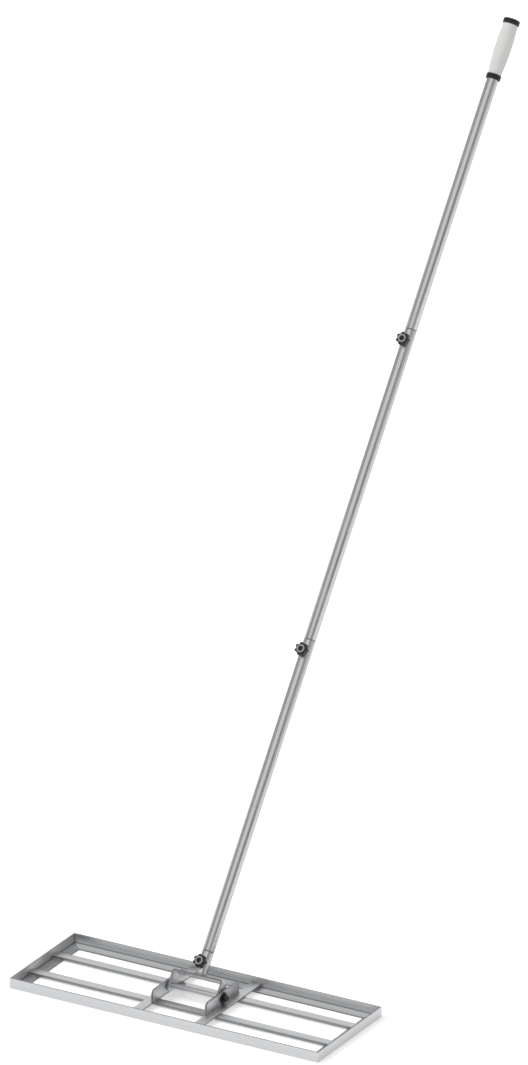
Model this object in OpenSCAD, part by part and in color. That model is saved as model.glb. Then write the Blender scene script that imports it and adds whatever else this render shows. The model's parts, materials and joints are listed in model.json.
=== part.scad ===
// Hand levelling rake: a slatted steel head, a tilting yoke and a handle of three screwed tubes.
// Millimetres, +Z up. The origin is on the ground under the middle of the head.
// X runs along the head, and the handle leans back towards +Y.

/* [Head frame] */
// Length of the head over its end rails
head_length = 712; // [400:1:1200]
// Depth of the head over its front and rear rails
head_depth = 254; // [200:1:400]
// Height of the rails' upright walls
rail_height = 22; // [16:1:40]
// Width of the rails' flanges, which slide on the ground
rail_flange = 26; // [16:1:34]
// Thickness of the rail steel
rail_wall = 3; // [2:0.5:5]

/* [Levelling bars] */
// Width of each bar
bar_width = 20.5; // [12:0.5:30]
// Thickness of each bar
bar_thickness = 6; // [3:0.5:8]
// Distance between the centre lines of the two bars
bar_spacing = 93.2; // [70:0.1:120]

/* [Cross strips and ears] */
// Distance between the facing edges of the two cross strips
strip_gap = 120; // [90:1:200]
// Width of each cross strip
strip_width = 22; // [14:1:40]
// Thickness of each cross strip
strip_thickness = 3; // [2:0.5:5]
// Length of each ear along its strip
ear_length = 130; // [60:1:180]
// Height of each ear above its strip
ear_height = 26; // [24:1:40]
// Thickness of each ear
ear_thickness = 4; // [3:0.5:6]
// Radius of the ears' top corners
ear_corner = 10; // [2:1:12]

/* [Pivot] */
// Height of the pivot above the cross strips
pivot_rise = 13; // [12:0.5:16]
// Diameter of the pivot bolt
pivot_bolt_d = 8; // [6:1:10]
// Width across the flats of the pivot bolt's head and nut
pivot_hex = 13; // [12:1:17]
// Thickness of the pivot bolt's head
pivot_head_height = 5.3; // [4:0.1:7]
// Height of the lock nut, with its collar
lock_nut_height = 8; // [7:0.5:11]
// Outer diameter of the broad washers outside the ears
outer_washer_d = 24; // [18:1:25]
// Thickness of the broad washers
outer_washer_thickness = 2; // [1:0.5:3]
// Outer diameter of the thrust washers between the ears and the yoke
thrust_washer_d = 16; // [14:1:22]
// Thickness of the thrust washers
thrust_washer_thickness = 1.6; // [1:0.1:3]
// Outer diameter of the spacer tube between the yoke's legs
spacer_d = 12; // [11:0.5:16]

/* [Yoke] */
// Width of the yoke's steel strip
yoke_width = 25; // [18:1:28]
// Thickness of the yoke's steel strip
yoke_thickness = 4; // [3:0.5:6]
// Distance from the pivot to the top of the yoke
yoke_reach = 33; // [24:1:50]
// Inner radius of the yoke's two bends
yoke_bend = 2; // [1:0.5:4]

/* [Handle tubes] */
// Lean of the handle from upright
handle_lean = 37.55; // [10:0.05:60]
// Outer diameter of the tubes
tube_d = 24; // [20:0.5:32]
// Wall thickness of the tubes
tube_wall = 1.5; // [1:0.1:2.5]
// Length of the short socket on the yoke
socket_length = 49; // [45:1:80]
// Length that each tube adds to the handle
section_length = 664; // [300:1:1000]
// Length of the drawn-in neck at the foot of each tube
neck_length = 40; // [36:1:44]
// Length of the taper between the neck and the full tube
neck_taper = 3; // [1:0.5:8]

/* [Star knobs] */
// Distance from a joint's rim down to its knob
knob_drop = 24; // [18:1:28]
// Diameter over the lobes of the knob
knob_d = 28; // [24:1:40]
// Number of lobes on the knob
knob_lobes = 7; // [5:1:9]
// Height of the knob's lobed head
knob_height = 12; // [8:0.5:18]
// Height of the round hub under the lobed head
knob_hub_height = 2.4; // [1.5:0.1:6]
// Diameter of the round hub
knob_hub_d = 15; // [12:0.5:20]
// How far the knob's round face stands above its lobes
knob_boss_rise = 0.8; // [0.2:0.1:2]
// Diameter of the cap pressed into the knob
knob_cap_d = 11; // [8:0.5:14]
// Depth of the cap's face below the knob's top
knob_cap_sink = 0.8; // [0:0.1:2]
// Diameter of the knob's screw
stud_d = 6; // [5:0.5:8]
// Length of the screw below the knob
stud_length = 19; // [18:0.5:22]
// Outer diameter of the washer under the knob
knob_washer_d = 17; // [14:0.5:22]
// Thickness of the washer under the knob
knob_washer_thickness = 1.6; // [1:0.1:3]
// Width across the flats of the nut inside the neck
weld_nut_hex = 10; // [9:0.5:12]
// Height of the nut inside the neck
weld_nut_height = 5; // [4:0.5:6]

/* [Grip] */
// Length of the whole grip, with its end rings
grip_length = 129; // [90:1:200]
// Diameter of the barrel where it meets the lower ring
grip_low_d = 27; // [26:0.5:40]
// Diameter of the barrel where it meets the upper ring
grip_top_d = 30; // [26:0.5:44]
// How much the middle of the barrel swells in radius
grip_swell = 2.6; // [0:0.1:6]
// Diameter of the lower ring
lower_ring_d = 30; // [27:0.5:50]
// Diameter of the upper ring
upper_ring_d = 34; // [27:0.5:50]
// Height of each end ring
ring_height = 10.5; // [5:0.5:14]
// Depth of the groove round each end ring, which is also half its width
ring_groove = 0.8; // [0.4:0.1:1.2]
// Length of the end cap's plug inside the tube
cap_plug_length = 12; // [6:1:30]
// Thickness of the end cap's disc, above the end of the tube
cap_disc_height = 5; // [2:0.5:8]

/* [Hidden] */
$fn = 48;

steel = "#c3c6ca";
bright_steel = "#d4d6d9";
dark_steel = "#55585c";
black_plastic = "#1c1c1e";
pale_rubber = "#d9d9d5";

// Clearances: a running or sliding fit, a loose hole, and a hair between pressed faces
fit_gap = 0.05;
loose_gap = 0.3;
pressed_gap = 0.02;
// Play between each thrust washer and each face beside it
thrust_play = 0.2;
// What a cutter reaches past the face that it cuts
past = 1;

// Levels of the head, from the ground up
bar_z = rail_wall;
strip_z = bar_z + bar_thickness;
ear_z = strip_z + strip_thickness;
pivot_z = ear_z + pivot_rise;

// Distances out from the middle of the pivot along the bolt
ear_in = strip_gap / 2;
ear_out = ear_in + ear_thickness;
leg_out = ear_in - thrust_washer_thickness - 2 * thrust_play;
leg_in = leg_out - yoke_thickness;
washer_out = ear_out + outer_washer_thickness;
bolt_end = washer_out + lock_nut_height + 2;

// Distances up the handle from the pivot
joint_s = [for (i = [0 : 2]) yoke_reach + socket_length + i * section_length];
handle_end = joint_s[2] + section_length;
grip_end = handle_end + cap_disc_height;
grip_start = grip_end - grip_length;
knob_s = [for (s = joint_s) s - knob_drop];

// Radii of the tubes and their drawn-in necks
tube_r = tube_d / 2;
bore_r = tube_r - tube_wall;
neck_r = bore_r - fit_gap;
neck_bore_r = neck_r - tube_wall;

// Distances out from the handle's axis towards the knobs
hub_out = tube_r + knob_washer_thickness;
knob_out = hub_out + knob_hub_height;
knob_top = knob_out + knob_height;
stud_tip = hub_out - stud_length;
cap_recess = 3;
stud_end = knob_top - cap_recess - 1;
stud_hole_d = stud_d + 2 * loose_gap;

// ---- Placing ----

// Puts a piece that is drawn upright from the pivot onto the leaning handle
module on_handle() {
    translate([0, 0, pivot_z]) rotate([-handle_lean, 0, 0]) children();
}

// Puts a piece that is drawn upwards from the handle's axis at a knob
module at_knob(joint) {
    on_handle() translate([0, 0, knob_s[joint]]) rotate([90, 0, 0]) children();
}

// Turns a piece that is drawn upwards to lie along the pivot, towards +X
module along_pivot(x) {
    translate([x, 0, pivot_z]) rotate([0, 90, 0]) children();
}

// ---- Shared forms ----

module washer(outer_d, hole_d, thickness) {
    linear_extrude(thickness) difference() {
        circle(d = outer_d);
        circle(d = hole_d);
    }
}

// A hexagon whose corners are turned off by a cone at the far end
module chamfered_hex(across, height) {
    corner_r = across / 2 / cos(30);
    intersection() {
        cylinder(r = corner_r, h = height, $fn = 6);
        cylinder(r1 = corner_r + height, r2 = across / 2, h = height);
    }
}

// A disc with rounded upper and lower edges and a hole
module rounded_ring(outer_d, hole_d, height, edge) {
    rotate_extrude() difference() {
        union() {
            translate([0, edge]) square([outer_d / 2, height - 2 * edge]);
            square([outer_d / 2 - edge, height]);
            for (z = [edge, height - edge])
                translate([outer_d / 2 - edge, z]) circle(r = edge);
        }
        translate([-past, -past]) square([hole_d / 2 + past, height + 2 * past]);
    }
}

// ---- Head ----

// An angle rail along X with its wall outwards at -Y, and both ends mitred
module rail(length, depth) {
    front = -depth / 2;
    color(steel) intersection() {
        rotate([90, 0, 90]) linear_extrude(length, center = true) {
            translate([front, 0]) square([rail_flange, rail_wall]);
            translate([front, 0]) square([rail_wall, rail_height]);
        }
        linear_extrude(rail_height) polygon([
            [-length / 2, front],
            [length / 2, front],
            [length / 2 - rail_flange, front + rail_flange],
            [-length / 2 + rail_flange, front + rail_flange]
        ]);
    }
}

module front_rail() { rail(head_length, head_depth); }
module rear_rail() { rotate([0, 0, 180]) rail(head_length, head_depth); }
module left_rail() { rotate([0, 0, -90]) rail(head_depth, head_length); }
module right_rail() { rotate([0, 0, 90]) rail(head_depth, head_length); }

// A flat bar that lies on the end rails' flanges, at -1 in front or 1 behind
module bar(side) {
    length = head_length - 2 * rail_wall;
    color(steel) translate([-length / 2, side * bar_spacing / 2 - bar_width / 2, bar_z])
        cube([length, bar_width, bar_thickness]);
}

module front_bar() { bar(-1); }
module rear_bar() { bar(1); }

// A flat strip across the bars from wall to wall
module right_cross_strip() {
    length = head_depth - 2 * rail_wall;
    color(steel) translate([ear_in, -length / 2, strip_z])
        cube([strip_width, length, strip_thickness]);
}
module left_cross_strip() { mirror([1, 0, 0]) right_cross_strip(); }

// An upright plate with rounded top corners, bored for the pivot bolt
module right_ear() {
    color(steel) difference() {
        translate([ear_in, 0, ear_z]) rotate([90, 0, 90]) linear_extrude(ear_thickness) {
            translate([-ear_length / 2, 0]) square([ear_length, ear_height - ear_corner]);
            translate([-ear_length / 2 + ear_corner, 0]) square([ear_length - 2 * ear_corner, ear_height]);
            for (side = [-1, 1])
                translate([side * (ear_length / 2 - ear_corner), ear_height - ear_corner])
                    circle(r = ear_corner);
        }
        along_pivot(ear_in - past) cylinder(d = pivot_bolt_d + 2 * fit_gap, h = ear_thickness + 2 * past);
    }
}
module left_ear() { mirror([1, 0, 0]) right_ear(); }

// ---- Pivot ----

module pivot_bolt() {
    color(dark_steel) {
        along_pivot(-washer_out) mirror([0, 0, 1]) chamfered_hex(pivot_hex, pivot_head_height);
        along_pivot(-washer_out) cylinder(d = pivot_bolt_d, h = washer_out + bolt_end);
    }
}

// A hexagon nut with a round collar that holds its locking ring
module pivot_lock_nut() {
    collar = lock_nut_height / 4;
    color(dark_steel) along_pivot(washer_out) difference() {
        union() {
            chamfered_hex(pivot_hex, lock_nut_height - collar);
            cylinder(d = pivot_hex - 1.5, h = lock_nut_height);
        }
        translate([0, 0, -past]) cylinder(d = pivot_bolt_d + 2 * fit_gap, h = lock_nut_height + 2 * past);
    }
}

module outer_washers() {
    color(dark_steel) for (x = [-washer_out, ear_out])
        along_pivot(x) washer(outer_washer_d, pivot_bolt_d + 2 * loose_gap, outer_washer_thickness);
}

module thrust_washers() {
    color(bright_steel) for (x = [-leg_out - thrust_play - thrust_washer_thickness, leg_out + thrust_play])
        along_pivot(x) washer(thrust_washer_d, pivot_bolt_d + 2 * loose_gap, thrust_washer_thickness);
}

module pivot_spacer() {
    color(bright_steel) along_pivot(-leg_in) washer(spacer_d, pivot_bolt_d + 2 * loose_gap, 2 * leg_in);
}

// ---- Yoke and socket ----

// The bent outline of the yoke, seen along its width
module yoke_outline() {
    outer_bend = yoke_bend + yoke_thickness;
    difference() {
        union() {
            translate([-leg_out, -yoke_width]) square([2 * leg_out, yoke_width + yoke_reach - outer_bend]);
            translate([-leg_out + outer_bend, 0]) square([2 * (leg_out - outer_bend), yoke_reach]);
            for (side = [-1, 1])
                translate([side * (leg_out - outer_bend), yoke_reach - outer_bend]) circle(r = outer_bend);
        }
        translate([-leg_in, -yoke_width - past])
            square([2 * leg_in, yoke_width + past + yoke_reach - outer_bend]);
        translate([-leg_in + yoke_bend, 0])
            square([2 * (leg_in - yoke_bend), yoke_reach - yoke_thickness]);
        for (side = [-1, 1])
            translate([side * (leg_in - yoke_bend), yoke_reach - outer_bend]) circle(r = yoke_bend);
    }
}

// A strip bent to a U, with round leg ends bored for the pivot bolt
module yoke_bracket() {
    color(steel) on_handle() difference() {
        intersection() {
            rotate([90, 0, 0]) linear_extrude(yoke_width, center = true) yoke_outline();
            rotate([90, 0, 90]) linear_extrude(2 * leg_out, center = true) {
                circle(d = yoke_width);
                translate([-yoke_width / 2, 0]) square([yoke_width, yoke_reach]);
            }
        }
        rotate([0, 90, 0]) cylinder(d = pivot_bolt_d + 2 * fit_gap, h = 2 * leg_out + past, center = true);
    }
}

// A hole through the wall of a tube on the knobs' side
module stud_hole(s) {
    translate([0, 0, s]) rotate([90, 0, 0]) cylinder(d = stud_hole_d, h = tube_d);
}

module handle_socket() {
    color(steel) on_handle() difference() {
        translate([0, 0, yoke_reach]) washer(tube_d, 2 * bore_r, socket_length);
        stud_hole(knob_s[0]);
    }
}

// ---- Handle tubes ----

// A tube whose neck slides into the tube below, from that tube's rim to its own far end
module tube(joint) {
    rim = joint_s[joint];
    top = rim + section_length;
    foot = rim - neck_length;
    color(bright_steel) on_handle() difference() {
        rotate_extrude() polygon([
            [neck_bore_r, foot],
            [neck_r, foot],
            [neck_r, rim],
            [tube_r, rim + neck_taper],
            [tube_r, top],
            [bore_r, top],
            [bore_r, rim + neck_taper],
            [neck_bore_r, rim]
        ]);
        stud_hole(knob_s[joint]);
        if (joint < 2) stud_hole(knob_s[joint + 1]);
    }
}

module lower_tube() { tube(0); }
module middle_tube() { tube(1); }
module upper_tube() { tube(2); }

// ---- Knobs ----

// A hexagon nut seated against the inside of a neck, so its top follows the bore
module weld_nut(joint) {
    color(dark_steel) at_knob(joint) difference() {
        intersection() {
            translate([0, 0, neck_bore_r - weld_nut_height])
                cylinder(d = weld_nut_hex / cos(30), h = weld_nut_height, $fn = 6);
            rotate([90, 0, 0]) cylinder(r = neck_bore_r - pressed_gap, h = 2 * weld_nut_hex, center = true);
        }
        cylinder(d = stud_d + 2 * fit_gap, h = neck_bore_r + past);
    }
}

module lower_weld_nut() { weld_nut(0); }
module middle_weld_nut() { weld_nut(1); }
module upper_weld_nut() { weld_nut(2); }

module knob_washer(joint) {
    color(dark_steel) at_knob(joint) translate([0, 0, tube_r])
        washer(knob_washer_d, stud_hole_d, knob_washer_thickness);
}

module lower_knob_washer() { knob_washer(0); }
module middle_knob_washer() { knob_washer(1); }
module upper_knob_washer() { knob_washer(2); }

// The lobed outline: round lobes joined by round valleys that meet them smoothly
module star_outline() {
    step = 360 / knob_lobes;
    lobe_r = 0.12 * knob_d;
    lobe_at = knob_d / 2 - lobe_r;
    valley_r = 0.11 * knob_d;
    valley_at = lobe_at * cos(step / 2) + sqrt(pow(lobe_r + valley_r, 2) - pow(lobe_at * sin(step / 2), 2));
    difference() {
        union() {
            for (i = [0 : knob_lobes - 1]) rotate(i * step) translate([lobe_at, 0]) circle(r = lobe_r, $fn = 32);
            polygon([
                for (i = [0 : 2 * knob_lobes - 1])
                    let (reach = i % 2 == 0 ? lobe_at : valley_at)
                    [reach * cos(i * step / 2), reach * sin(i * step / 2)]
            ]);
        }
        for (i = [0 : knob_lobes - 1])
            rotate((i + 0.5) * step) translate([valley_at, 0]) circle(r = valley_r, $fn = 32);
    }
}

// A moulded star knob: rounded lobes, a raised round face with a recess for its cap, and a hub below
module star_knob(joint) {
    edge = knob_height / 5;
    lobe_height = knob_height - knob_boss_rise;
    boss_d = 0.68 * knob_d;
    color(black_plastic) at_knob(joint) difference() {
        union() {
            translate([0, 0, knob_out]) intersection() {
                linear_extrude(lobe_height) star_outline();
                rounded_ring(knob_d, 0, lobe_height, edge);
            }
            translate([0, 0, knob_out]) cylinder(d = boss_d, h = knob_height);
            translate([0, 0, hub_out]) cylinder(d = knob_hub_d, h = knob_hub_height + edge);
        }
        translate([0, 0, knob_top - cap_recess]) cylinder(d = knob_cap_d, h = cap_recess + past);
        cylinder(d = stud_d + 2 * pressed_gap, h = stud_end);
    }
}

module lower_knob() { star_knob(0); }
module middle_knob() { star_knob(1); }
module upper_knob() { star_knob(2); }

// A disc that closes the knob's recess, a little below its rim
module knob_cap(joint) {
    color(dark_steel) at_knob(joint) translate([0, 0, knob_top - cap_recess])
        rounded_ring(knob_cap_d - 2 * pressed_gap, 0, cap_recess - knob_cap_sink, 0.4);
}

module lower_knob_cap() { knob_cap(0); }
module middle_knob_cap() { knob_cap(1); }
module upper_knob_cap() { knob_cap(2); }

module knob_stud(joint) {
    color(bright_steel) at_knob(joint) translate([0, 0, stud_tip]) {
        cylinder(d1 = stud_d - 2, d2 = stud_d, h = 1);
        translate([0, 0, 1]) cylinder(d = stud_d, h = stud_end - stud_tip - 1);
    }
}

module lower_knob_stud() { knob_stud(0); }
module middle_knob_stud() { knob_stud(1); }
module upper_knob_stud() { knob_stud(2); }

// ---- Grip ----

// A soft sleeve that swells in the middle to fill the hand
module grip_barrel() {
    low = grip_start + ring_height;
    length = grip_length - 2 * ring_height;
    steps = 20;
    color(pale_rubber) on_handle() translate([0, 0, low]) rotate_extrude() polygon([
        [tube_r + pressed_gap, 0],
        for (i = [0 : steps])
            let (u = i / steps, r = grip_low_d / 2 + (grip_top_d - grip_low_d) / 2 * u)
            [r + grip_swell * sin(180 * u), length * u],
        [tube_r + pressed_gap, length]
    ]);
}

// An end ring with two rounded lips and a groove between them
module grip_ring(outer_d, start, edge) {
    color(black_plastic) on_handle() translate([0, 0, start]) difference() {
        rounded_ring(outer_d, tube_d + 2 * pressed_gap, ring_height, edge);
        translate([0, 0, ring_height / 2]) rotate_extrude()
            translate([outer_d / 2, 0]) circle(r = ring_groove);
    }
}

module grip_lower_ring() { grip_ring(lower_ring_d, grip_start, 1.4); }
module grip_upper_ring() { grip_ring(upper_ring_d, grip_end - ring_height, 1.9); }

// A plug with a disc that closes the top of the tube
module grip_end_cap() {
    color(black_plastic) on_handle() translate([0, 0, handle_end]) {
        cylinder(d = tube_d - 2 * pressed_gap, h = cap_disc_height);
        translate([0, 0, -cap_plug_length]) cylinder(r = neck_r, h = cap_plug_length);
    }
}

front_rail();
rear_rail();
left_rail();
right_rail();
front_bar();
rear_bar();
left_cross_strip();
right_cross_strip();
left_ear();
right_ear();
pivot_bolt();
pivot_lock_nut();
outer_washers();
thrust_washers();
pivot_spacer();
yoke_bracket();
handle_socket();
lower_tube();
middle_tube();
upper_tube();
lower_weld_nut();
middle_weld_nut();
upper_weld_nut();
lower_knob_washer();
middle_knob_washer();
upper_knob_washer();
lower_knob();
middle_knob();
upper_knob();
lower_knob_cap();
middle_knob_cap();
upper_knob_cap();
lower_knob_stud();
middle_knob_stud();
upper_knob_stud();
grip_barrel();
grip_lower_ring();
grip_upper_ring();
grip_end_cap();
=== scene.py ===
import json
import math
import random

import bmesh
import bpy
from mathutils import Matrix, Vector


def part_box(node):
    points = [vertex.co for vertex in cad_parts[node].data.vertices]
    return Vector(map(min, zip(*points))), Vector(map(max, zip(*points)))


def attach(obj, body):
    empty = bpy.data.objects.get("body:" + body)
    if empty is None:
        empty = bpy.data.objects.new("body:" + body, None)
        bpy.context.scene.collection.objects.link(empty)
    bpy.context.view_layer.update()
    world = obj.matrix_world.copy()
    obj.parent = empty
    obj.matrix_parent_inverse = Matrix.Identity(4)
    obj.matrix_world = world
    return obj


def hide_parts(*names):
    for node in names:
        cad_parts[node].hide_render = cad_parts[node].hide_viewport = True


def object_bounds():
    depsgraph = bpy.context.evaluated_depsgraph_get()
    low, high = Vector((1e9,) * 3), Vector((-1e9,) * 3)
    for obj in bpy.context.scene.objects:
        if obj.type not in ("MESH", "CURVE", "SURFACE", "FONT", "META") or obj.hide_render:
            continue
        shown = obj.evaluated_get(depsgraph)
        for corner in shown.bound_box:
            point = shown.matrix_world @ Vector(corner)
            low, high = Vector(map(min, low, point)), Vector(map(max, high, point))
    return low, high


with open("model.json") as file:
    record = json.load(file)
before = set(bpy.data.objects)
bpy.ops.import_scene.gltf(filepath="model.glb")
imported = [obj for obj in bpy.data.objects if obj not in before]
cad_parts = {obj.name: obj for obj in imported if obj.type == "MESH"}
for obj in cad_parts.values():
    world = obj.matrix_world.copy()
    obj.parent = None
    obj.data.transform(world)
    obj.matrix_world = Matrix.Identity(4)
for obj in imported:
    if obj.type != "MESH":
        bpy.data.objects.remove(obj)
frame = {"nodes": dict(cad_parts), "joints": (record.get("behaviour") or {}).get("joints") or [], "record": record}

scene = bpy.context.scene
cadBox = [list(corner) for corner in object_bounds()]

# what the frame says of the joints, the grip and the handle's lean
joints = {joint["name"]: joint for joint in frame["joints"]}
mounts = {mount["name"]: mount for mount in frame["record"]["mounts"]}
pivot = Vector(joints["head_tilt"]["pos_m"])
sideWay = Vector((1, 0, 0))
handleWay = Vector(mounts["hand_grip"]["axis"]).normalized()
knobWay = Vector(joints["lower_knob_turn"]["axis"]).normalized()
joinNames = ("lower", "middle", "upper")


def axes(origin, x, y, z):  # a frame whose columns are the three directions
    return Matrix.Translation(origin) @ Matrix((x, y, z)).transposed().to_4x4()


handleFrame = axes(pivot, sideWay, -knobWay, handleWay)  # z runs up the handle from the pivot
boltFrame = axes(pivot, handleWay, -knobWay, sideWay)  # z runs along the pivot bolt towards its nut


def knobFrame(join):  # z runs out of the handle's axis through the knob
    return axes(Vector(joints[join + "_knob_turn"]["pos_m"]), sideWay, handleWay, knobWay)


def span(node, way, start):  # nearest and furthest that a CAD node reaches along a direction
    reach = [(corner.co - start).dot(way) for corner in frame["nodes"][node].data.vertices]
    return min(reach), max(reach)


class Signal:  # a socket that Python's own operators work on
    def __init__(self, wiring, socket):
        self.wiring = wiring
        self.socket = socket

    def maths(self, operation, first, second=0.0):
        return self.wiring.add("Math", {"operation": operation}, {0: first, 1: second})

    def __add__(self, other):
        return self.maths("ADD", self, other)

    def __sub__(self, other):
        return self.maths("SUBTRACT", self, other)

    def __rsub__(self, other):
        return self.maths("SUBTRACT", other, self)

    def __mul__(self, other):
        return self.maths("MULTIPLY", self, other)

    def __pow__(self, other):
        return self.maths("POWER", self, other)

    def __abs__(self):
        return self.maths("ABSOLUTE", self)

    __radd__ = __add__
    __rmul__ = __mul__

    def least(self, other):
        return self.maths("MINIMUM", self, other)

    def most(self, other):
        return self.maths("MAXIMUM", self, other)

    def ease(self, low, high, start=0.0, end=1.0):  # start below low, end above high, smooth between
        return self.wiring.add(
            "MapRange",
            {"interpolation_type": "SMOOTHSTEP"},
            {"Value": self, "From Min": low, "From Max": high, "To Min": start, "To Max": end},
        )


class Wiring:  # adds and joins the nodes of one tree
    def __init__(self, tree):
        self.tree = tree

    def add(self, kind, settings=None, inputs=None, out=0):
        node = self.tree.nodes.new("ShaderNode" + kind)
        for key, value in (settings or {}).items():
            if key == "stops":
                self.fillRamp(node.color_ramp, value)
            else:
                setattr(node, key, value)
        for key, value in (inputs or {}).items():
            self.feed(node.inputs[key], value)
        return Signal(self, node.outputs[out])

    def fillRamp(self, ramp, stops):
        while len(ramp.elements) < len(stops):
            ramp.elements.new(0.5)
        for element, (position, colour) in zip(ramp.elements, stops):
            element.position = position
            element.color = (*colour, 1)

    def feed(self, socket, value):
        if isinstance(value, Signal):
            self.tree.links.new(value.socket, socket)
        elif isinstance(value, tuple) and socket.type == "RGBA":
            socket.default_value = (*value, 1)
        else:
            socket.default_value = value

    def backdropRays(self):  # 1 for rays that see the backdrop: from the camera, a gloss or a clear body
        camera = self.add("LightPath", out="Is Camera Ray")
        gloss = self.add("LightPath", out="Is Glossy Ray")
        clear = self.add("LightPath", out="Is Transmission Ray")
        return camera.most(gloss).most(clear)


class Finish(Wiring):  # a material with its shader and its place on the piece
    def __init__(self, name):
        self.material = bpy.data.materials.new(name)
        self.material.use_nodes = True
        super().__init__(self.material.node_tree)
        self.shader = self.tree.nodes["Principled BSDF"]
        self.place = self.add("TexCoord", out="Object")
        parts = self.add("SeparateXYZ", inputs={0: self.place})
        split = parts.socket.node.outputs
        self.x, self.y, self.z = [Signal(self, split[axis]) for axis in "XYZ"]

    def set(self, **values):  # sockets of the shader, in camelCase
        names = {
            "baseColor": "Base Color",
            "specular": "Specular IOR Level",
            "specularTint": "Specular Tint",
        }
        for key, value in values.items():
            self.feed(self.shader.inputs[names.get(key, key.capitalize())], value)

    def stretched(self, frequencies, turn=None):  # coordinates in cycles per metre along each axis
        place = self.place
        if turn:
            place = self.add("Mapping", inputs={"Vector": place, "Rotation": turn.to_euler()[:]})
        return self.add("Mapping", inputs={"Vector": place, "Scale": frequencies})

    def noise(self, place, scale=1.0, detail=2.0, roughness=0.5):
        return self.add(
            "TexNoise", inputs={"Vector": place, "Scale": scale, "Detail": detail, "Roughness": roughness}
        )

    def blend(self, factor, first, second):
        return self.add("Mix", {"data_type": "RGBA"}, {0: factor, 6: first, 7: second}, out=2)

    def bump(self, height, depth, strength=1.0):  # a height of 1 stands depth metres proud
        inputs = {"Height": height, "Distance": depth, "Strength": strength}
        self.set(normal=self.add("Bump", inputs=inputs))

    def along(self, way, start):  # metres along a direction from a point
        dot = self.add("VectorMath", {"operation": "DOT_PRODUCT"}, {0: self.place, 1: way[:]}, out="Value")
        return dot - start.dot(way)


# places on the part that its finishes follow
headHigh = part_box("right_rail")[1]
barLow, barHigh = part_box("rear_bar")
stripLow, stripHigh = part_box("right_cross_strip")
earLow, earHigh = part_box("right_ear")
innerX, innerY = barHigh.x, stripHigh.y  # inner faces of the walls
flangeTop, wallTop = barLow.z, headHigh.z
tubeRadius = span("handle_socket", sideWay, pivot)[1]
yokeTop = span("handle_socket", handleWay, pivot)[0]

satin = {
    "light": (0.690, 0.697, 0.706),
    "dark": (0.560, 0.569, 0.580),
    "roughness": 0.27,
    "spread": 0.20,
    "fineAcross": 2400,  # grain lines per metre
    "broadAcross": 420,
    "grainLong": 14,
    "cloud": 11,
    "cloudDull": 0.10,
    "fineShare": 0.25,  # how much each pattern moves the colour from dark to light
    "broadShare": 0.45,
    "cloudShare": 0.30,
    "fineRise": 0.7,  # how much of the depth each pattern stands proud
    "broadRise": 0.5,
    "nickRise": 0.8,
    "depth": 0.000022,
    "nickLong": 90,
    "nickAcross": 1300,
    "nickFrom": 0.70,
    "nickFull": 0.74,
    "nickShine": 0.35,
    "rub": 0.0016,  # the sliding faces are rubbed bright this far up
    "rubShine": 0.5,
    "rubGloss": 0.10,
    "rubbed": (0.70, 0.705, 0.71),
    "straw": (0.50, 0.45, 0.37),
    "heatNear": 0.002,
    "heatFar": 0.009,
    "heatRag": 0.008,  # how far the tint's edge wanders
    "ragScale": 150,
    "heat": 0.24,
    "wall": 0.0028,  # the rails' outer faces stay clean
    "root": 0.0030,  # how far the painted shade reaches out of an inner corner
    # painted shade: the tone that darkens the rails' inner corners, and how much of it
    "cornerShadeTone": (0.17, 0.174, 0.18),
    "cornerShadeShare": 0.7,
}


def paintedCornerShade(finish, look):  # 1 in the rails' inner corners, a mask for the shade painted into those creases
    fromWall = abs(abs(finish.x) - innerX).least(abs(abs(finish.y) - innerY))
    away = (fromWall ** 2 + abs(finish.z - flangeTop) ** 2) ** 0.5
    return away.ease(look["root"] / 3, look["root"], 1.0, 0.0)


def satinSteel(name, grain, look=satin):  # grain is the axis that the brushing runs along
    finish = Finish(name)
    fineGrain = [look["grainLong"] if axis == grain else look["fineAcross"] for axis in "xyz"]
    broadGrain = [look["grainLong"] / 3 if axis == grain else look["broadAcross"] for axis in "xyz"]
    nickWay = "x" if grain == "y" else "y"  # nicks run across the grain
    nickGrain = [look["nickLong"] if axis == nickWay else look["nickAcross"] for axis in "xyz"]
    fine = finish.noise(finish.stretched(fineGrain), detail=3)
    broad = finish.noise(finish.stretched(broadGrain))
    cloud = finish.noise(finish.place, scale=look["cloud"], detail=5, roughness=0.6)
    nicks = finish.noise(finish.stretched(nickGrain), detail=1).ease(look["nickFrom"], look["nickFull"])
    rubbed = finish.z.ease(look["rub"] / 3, look["rub"], 1.0, 0.0)
    outside = (abs(finish.x) - innerX).most(abs(finish.y) - innerY)
    inner = outside.ease(look["wall"] / 2, look["wall"], 1.0, 0.0)
    heat = weldHeat(finish, look) * look["heat"] * inner
    mottle = broad * look["broadShare"] + fine * look["fineShare"] + cloud * look["cloudShare"]
    tone = finish.blend(mottle, look["dark"], look["light"])
    tone = finish.blend(heat, tone, look["straw"])
    tone = finish.blend(rubbed * look["rubShine"] + nicks * look["nickShine"], tone, look["rubbed"])
    # painted shade darkens the rails' inner corners, where the walls meet the flanges
    tone = finish.blend(paintedCornerShade(finish, look) * inner * look["cornerShadeShare"], tone, look["cornerShadeTone"])
    dullness = look["roughness"] + fine * look["spread"] + cloud * look["cloudDull"]
    finish.set(baseColor=tone, metallic=1.0, roughness=dullness - rubbed * look["rubGloss"])
    rise = fine * look["fineRise"] + broad * look["broadRise"] + nicks * look["nickRise"]
    finish.bump(rise, look["depth"])
    return finish.material


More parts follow.
